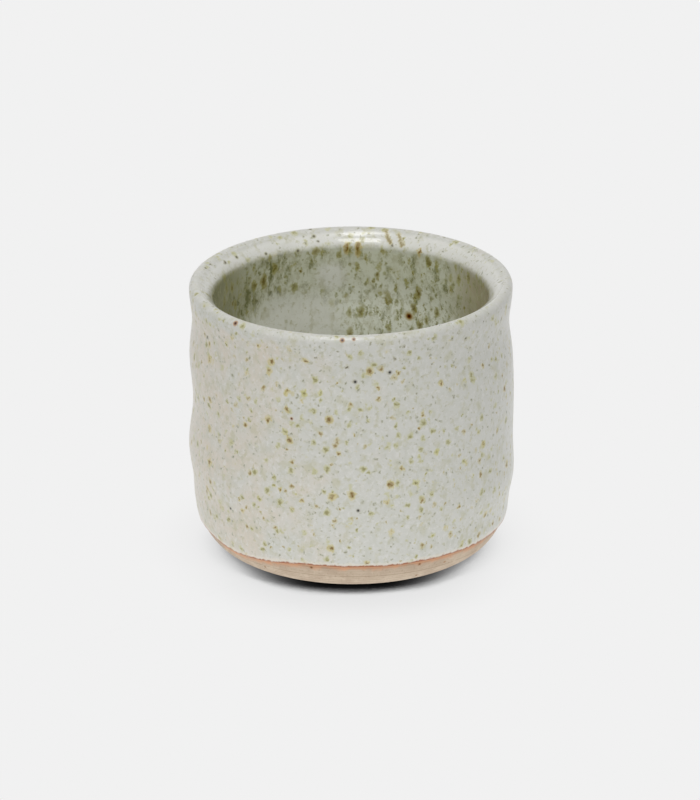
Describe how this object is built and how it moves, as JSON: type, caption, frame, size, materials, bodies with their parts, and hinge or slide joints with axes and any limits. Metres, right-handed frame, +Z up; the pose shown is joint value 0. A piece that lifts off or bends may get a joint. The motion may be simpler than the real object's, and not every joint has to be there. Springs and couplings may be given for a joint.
{
  "type": "cocktail cup",
  "caption": "Handle-less thrown stoneware cocktail cup with a rounded heel, softly waisted wall and thick bevelled lip, speckled pale glaze inside and out, and a bare turned foot.",
  "frame": {"origin": "on the table, under the middle of the cup's foot", "axes": "+Z up along the throwing axis, -Y towards the viewer of the picture, +X to the picture's right"},
  "size_m": [0.0829, 0.0829, 0.0713],
  "materials": {
    "bare_stoneware": "matte",
    "speckled_glaze": "satin",
    "liner_celadon": "gloss"
  },
  "bodies": {
    "root": {"stoneware_body": "bare_stoneware", "outer_glaze": "speckled_glaze", "liner_glaze": "liner_celadon"}
  },
  "joints": []
}
